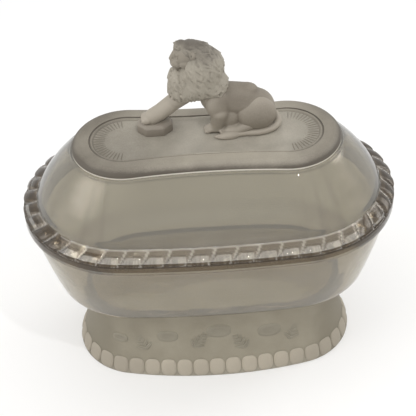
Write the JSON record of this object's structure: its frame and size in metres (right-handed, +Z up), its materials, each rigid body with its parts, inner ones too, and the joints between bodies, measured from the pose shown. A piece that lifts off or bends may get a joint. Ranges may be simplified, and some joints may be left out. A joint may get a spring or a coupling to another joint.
{
  "type": "covered oval dish",
  "caption": "Footed oval glass dish with a lift-off domed cover, rope edge, frosted panel and crouching lion handle.",
  "frame": {"origin": "on the table under the middle of the foot", "axes": "+Z up, +X along the long axis towards the lion's tail, +Y across the dish towards the lion's far side"},
  "size_m": [0.216, 0.1258, 0.2113],
  "materials": {
    "clear_glass_bowl": "clear, warm grey, slightly wavy pressed glass",
    "clear_glass_cover": "clear, warm grey, fire-polished pressed glass",
    "clear_glass_rope": "clear, sharply moulded, sparkling",
    "frosted_glass_foot": "acid-frosted, satin matte",
    "frosted_glass_panel": "acid-frosted, satin matte with a stippled field",
    "frosted_glass_lion": "acid-frosted, satin matte"
  },
  "bodies": {
    "dish": {"bowl": "clear_glass_bowl", "foot_collar": "frosted_glass_foot", "foot_beads": "frosted_glass_foot"},
    "cover": {"lid_dome": "clear_glass_cover", "rope_rim": "clear_glass_rope", "top_panel": "frosted_glass_panel", "lion_body": "frosted_glass_lion", "lion_mane": "frosted_glass_lion", "lion_tail": "frosted_glass_lion", "paw_block": "frosted_glass_lion"}
  },
  "joints": [
    {"name": "cover_lift", "type": "slide", "parent": "dish", "child": "cover", "axis": [0, 0, 1], "range_m": [0, 0.12]}
  ]
}
